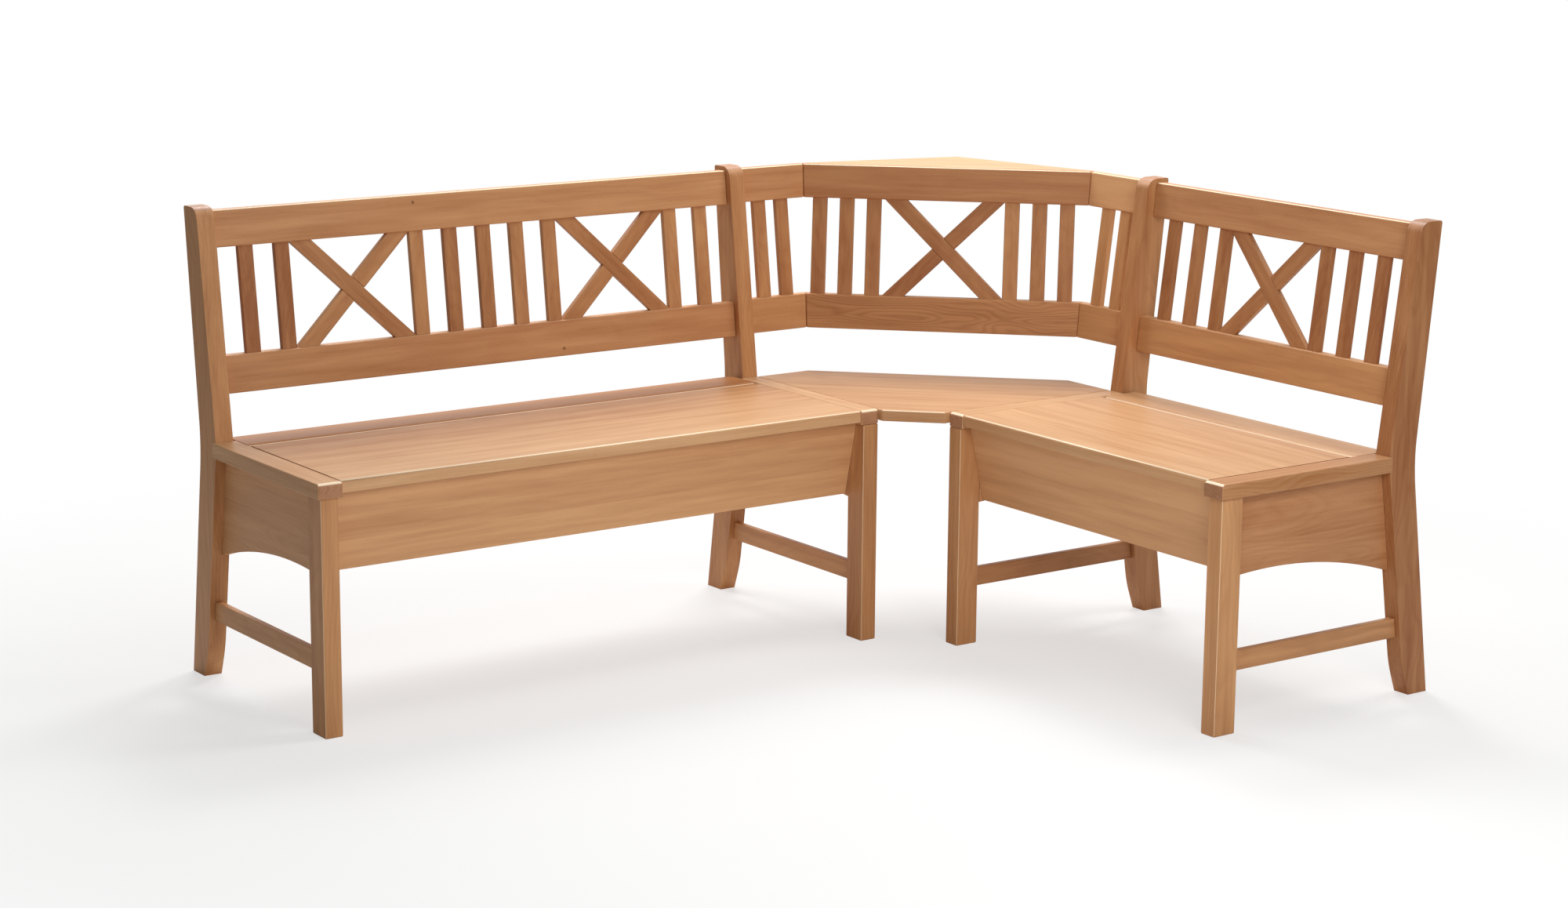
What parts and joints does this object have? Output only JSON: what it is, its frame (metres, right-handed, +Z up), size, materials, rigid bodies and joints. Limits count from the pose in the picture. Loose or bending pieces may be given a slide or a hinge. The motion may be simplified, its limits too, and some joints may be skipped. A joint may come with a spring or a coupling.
{
  "type": "corner storage bench",
  "caption": "Beech corner bench with lifting seat lids over storage boxes, a back of slats and crosses, an angled corner back and a small corner shelf.",
  "frame": {"origin": "on the floor under the middle of the bounding box", "axes": "+X along the long bench towards the corner, +Y towards the wall behind the long bench, +Z up. The long bench faces -Y and the short bench faces -X."},
  "size_m": [1.846, 1.407, 0.884],
  "materials": {
    "beech_seat": "clear satin lacquer",
    "beech_board": "clear satin lacquer",
    "beech_frame": "clear satin lacquer",
    "steel_pin": "plain drawn steel"
  },
  "bodies": {
    "frame": {"corner_diagonal_slatted_rail": "beech_frame", "corner_diagonal_top_rail": "beech_board", "corner_left_cleat": "beech_frame", "corner_left_slatted_rail": "beech_frame", "corner_left_top_rail": "beech_board", "corner_right_cleat": "beech_frame", "corner_right_slatted_rail": "beech_frame", "corner_right_top_rail": "beech_board", "corner_seat": "beech_seat", "corner_shelf": "beech_seat", "left_end_front_leg": "beech_frame", "left_end_rear_post": "beech_frame", "left_end_seat_cap": "beech_seat", "left_end_side_panel": "beech_board", "left_end_stretcher": "beech_frame", "left_inner_front_leg": "beech_frame", "left_inner_rear_post": "beech_frame", "left_inner_seat_cap": "beech_seat", "left_inner_side_panel": "beech_board", "left_inner_stretcher": "beech_frame", "long_apron": "beech_board", "long_back_bottom_rail": "beech_board", "long_back_cross_1": "beech_frame", "long_back_cross_2": "beech_frame", "long_back_panel": "beech_board", "long_back_slat_1": "beech_frame", "long_back_slat_2": "beech_frame", "long_back_slat_3": "beech_frame", "long_back_slat_4": "beech_frame", "long_back_slat_5": "beech_frame", "long_back_slat_6": "beech_frame", "long_back_slat_7": "beech_frame", "long_back_slat_8": "beech_frame", "long_back_slat_9": "beech_frame", "long_back_top_rail": "beech_board", "long_box_floor": "beech_board", "long_lid_pin_1": "steel_pin", "long_lid_pin_2": "steel_pin", "long_rear_strip": "beech_seat", "right_end_front_leg": "beech_frame", "right_end_rear_post": "beech_frame", "right_end_seat_cap": "beech_seat", "right_end_side_panel": "beech_board", "right_end_stretcher": "beech_frame", "right_inner_front_leg": "beech_frame", "right_inner_rear_post": "beech_frame", "right_inner_seat_cap": "beech_seat", "right_inner_side_panel": "beech_board", "right_inner_stretcher": "beech_frame", "short_apron": "beech_board", "short_back_cross_1": "beech_frame", "short_back_panel": "beech_board", "short_back_slatted_rail": "beech_frame", "short_back_top_rail": "beech_board", "short_box_floor": "beech_board", "short_lid_pin_1": "steel_pin", "short_lid_pin_2": "steel_pin", "short_rear_strip": "beech_seat"},
    "long_lid": {"long_seat_lid": "beech_seat"},
    "short_lid": {"short_seat_lid": "beech_seat"}
  },
  "joints": [
    {"name": "long_lid_hinge", "type": "hinge", "parent": "frame", "child": "long_lid", "pos_m": [-0.3125, 0.5155, 0.449], "axis": [-1, 0, 0], "range_deg": [0, 105]},
    {"name": "short_lid_hinge", "type": "hinge", "parent": "frame", "child": "short_lid", "pos_m": [0.735, -0.3125, 0.449], "axis": [0, 1, 0], "range_deg": [0, 105]}
  ]
}
